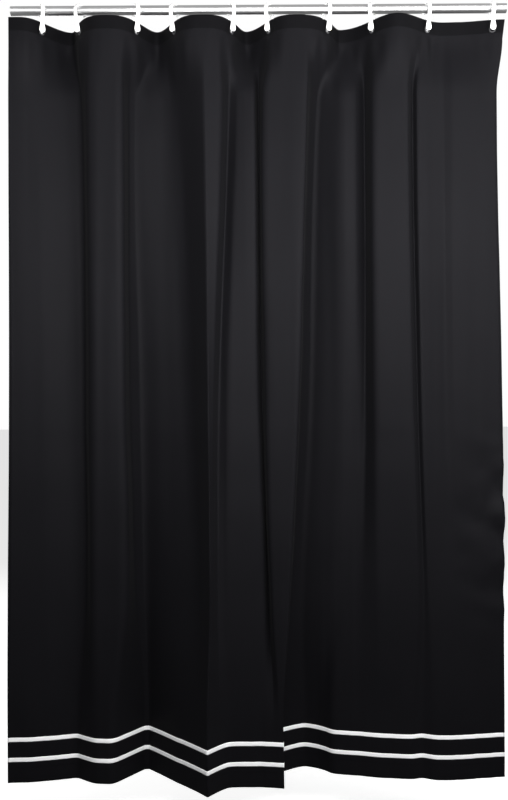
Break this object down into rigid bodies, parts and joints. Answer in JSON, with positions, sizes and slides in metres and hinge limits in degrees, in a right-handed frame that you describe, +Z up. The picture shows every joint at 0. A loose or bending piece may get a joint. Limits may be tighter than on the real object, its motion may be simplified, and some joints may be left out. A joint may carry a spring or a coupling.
{
  "type": "shower curtain",
  "caption": "Cloth shower curtain with two contrasting ribbons above its hem, hung from a straight round rod by plastic snap rings through eyelets.",
  "frame": {"origin": "centre of the rod's left end", "axes": "+X along the rod to its right end, +Z up, and the curtain's front faces -Y"},
  "size_m": [1.1861, 0.1796, 1.8415],
  "materials": {
    "curtain_fabric": "satin",
    "ribbon": "satin",
    "ring_plastic": "gloss",
    "eyelet_metal": "satin",
    "rod_steel": "polished"
  },
  "bodies": {
    "rod": {"rod": "rod_steel"},
    "curtain": {"ring_hook_01": "ring_plastic", "eyelet_01": "eyelet_metal", "washer_01": "eyelet_metal", "curtain_cloth": "curtain_fabric", "upper_ribbon": "ribbon", "lower_ribbon": "ribbon"},
    "strap_01": {"ring_strap_01": "ring_plastic"},
    "ring_02": {"ring_hook_02": "ring_plastic", "eyelet_02": "eyelet_metal", "washer_02": "eyelet_metal"},
    "strap_02": {"ring_strap_02": "ring_plastic"},
    "ring_03": {"ring_hook_03": "ring_plastic", "eyelet_03": "eyelet_metal", "washer_03": "eyelet_metal"},
    "strap_03": {"ring_strap_03": "ring_plastic"},
    "ring_04": {"ring_hook_04": "ring_plastic", "eyelet_04": "eyelet_metal", "washer_04": "eyelet_metal"},
    "strap_04": {"ring_strap_04": "ring_plastic"},
    "ring_05": {"ring_hook_05": "ring_plastic", "eyelet_05": "eyelet_metal", "washer_05": "eyelet_metal"},
    "strap_05": {"ring_strap_05": "ring_plastic"},
    "ring_06": {"ring_hook_06": "ring_plastic", "eyelet_06": "eyelet_metal", "washer_06": "eyelet_metal"},
    "strap_06": {"ring_strap_06": "ring_plastic"},
    "ring_07": {"ring_hook_07": "ring_plastic", "eyelet_07": "eyelet_metal", "washer_07": "eyelet_metal"},
    "strap_07": {"ring_strap_07": "ring_plastic"},
    "ring_08": {"ring_hook_08": "ring_plastic", "eyelet_08": "eyelet_metal", "washer_08": "eyelet_metal"},
    "strap_08": {"ring_strap_08": "ring_plastic"},
    "ring_09": {"ring_hook_09": "ring_plastic", "eyelet_09": "eyelet_metal", "washer_09": "eyelet_metal"},
    "strap_09": {"ring_strap_09": "ring_plastic"},
    "ring_10": {"ring_hook_10": "ring_plastic", "eyelet_10": "eyelet_metal", "washer_10": "eyelet_metal"},
    "strap_10": {"ring_strap_10": "ring_plastic"}
  },
  "joints": [
    {"name": "curtain_swing", "type": "hinge", "parent": "rod", "child": "curtain", "pos_m": [0, 0, 0], "axis": [1, 0, 0], "range_deg": [-20, 20]},
    {"name": "curtain_draw", "type": "slide", "parent": "curtain", "child": "ring_10", "axis": [-1, 0, 0], "range_m": [0, 0.74931], "deforming": ["curtain_cloth", "upper_ribbon", "lower_ribbon"]},
    {"name": "ring_09_slide", "type": "slide", "parent": "curtain", "child": "ring_09", "axis": [-1, 0, 0], "range_m": [0, 0.64038]},
    {"name": "ring_08_slide", "type": "slide", "parent": "curtain", "child": "ring_08", "axis": [-1, 0, 0], "range_m": [0, 0.54968]},
    {"name": "ring_07_slide", "type": "slide", "parent": "curtain", "child": "ring_07", "axis": [-1, 0, 0], "range_m": [0, 0.47447]},
    {"name": "ring_06_slide", "type": "slide", "parent": "curtain", "child": "ring_06", "axis": [-1, 0, 0], "range_m": [0, 0.37825]},
    {"name": "ring_05_slide", "type": "slide", "parent": "curtain", "child": "ring_05", "axis": [-1, 0, 0], "range_m": [0, 0.31521]},
    {"name": "ring_04_slide", "type": "slide", "parent": "curtain", "child": "ring_04", "axis": [-1, 0, 0], "range_m": [0, 0.2212]},
    {"name": "ring_03_slide", "type": "slide", "parent": "curtain", "child": "ring_03", "axis": [-1, 0, 0], "range_m": [0, 0.15705]},
    {"name": "ring_02_slide", "type": "slide", "parent": "curtain", "child": "ring_02", "axis": [-1, 0, 0], "range_m": [0, 0.06415]},
    {"name": "strap_01_open", "type": "hinge", "parent": "curtain", "child": "strap_01", "pos_m": [0.0722, 0, 0.0145], "axis": [0.9104, 0.4136, 0], "range_deg": [-22, 0]},
    {"name": "strap_02_open", "type": "hinge", "parent": "ring_02", "child": "strap_02", "pos_m": [0.16384, 0, 0.0145], "axis": [0.9032, -0.4293, 0], "range_deg": [-22, 0]},
    {"name": "strap_03_open", "type": "hinge", "parent": "ring_03", "child": "strap_03", "pos_m": [0.29656, 0, 0.0145], "axis": [0.9032, 0.4293, 0], "range_deg": [-22, 0]},
    {"name": "strap_04_open", "type": "hinge", "parent": "ring_04", "child": "strap_04", "pos_m": [0.3882, 0, 0.0145], "axis": [0.9043, -0.4269, 0], "range_deg": [-22, 0]},
    {"name": "strap_05_open", "type": "hinge", "parent": "ring_05", "child": "strap_05", "pos_m": [0.5225, 0, 0.0145], "axis": [0.9026, 0.4304, 0], "range_deg": [-22, 0]},
    {"name": "strap_06_open", "type": "hinge", "parent": "ring_06", "child": "strap_06", "pos_m": [0.61256, 0, 0.0145], "axis": [0.9049, -0.4255, 0], "range_deg": [-22, 0]},
    {"name": "strap_07_open", "type": "hinge", "parent": "ring_07", "child": "strap_07", "pos_m": [0.75002, 0, 0.0145], "axis": [0.9233, 0.3841, 0], "range_deg": [-22, 0]},
    {"name": "strap_08_open", "type": "hinge", "parent": "ring_08", "child": "strap_08", "pos_m": [0.85746, 0, 0.0145], "axis": [0.9166, -0.3998, 0], "range_deg": [-22, 0]},
    {"name": "strap_09_open", "type": "hinge", "parent": "ring_09", "child": "strap_09", "pos_m": [0.98702, 0, 0.0145], "axis": [0.9683, 0.2499, 0], "range_deg": [-22, 0]},
    {"name": "strap_10_open", "type": "hinge", "parent": "ring_10", "child": "strap_10", "pos_m": [1.14265, 0, 0.0145], "axis": [0.9985, -0.0555, 0], "range_deg": [-22, 0]}
  ],
  "couplings": [
    {"joint": "ring_09_slide", "follows": "curtain_draw", "ratio": 0.85461},
    {"joint": "ring_08_slide", "follows": "curtain_draw", "ratio": 0.73358},
    {"joint": "ring_07_slide", "follows": "curtain_draw", "ratio": 0.63321},
    {"joint": "ring_06_slide", "follows": "curtain_draw", "ratio": 0.5048},
    {"joint": "ring_05_slide", "follows": "curtain_draw", "ratio": 0.42066},
    {"joint": "ring_04_slide", "follows": "curtain_draw", "ratio": 0.2952},
    {"joint": "ring_03_slide", "follows": "curtain_draw", "ratio": 0.20959},
    {"joint": "ring_02_slide", "follows": "curtain_draw", "ratio": 0.085609}
  ]
}
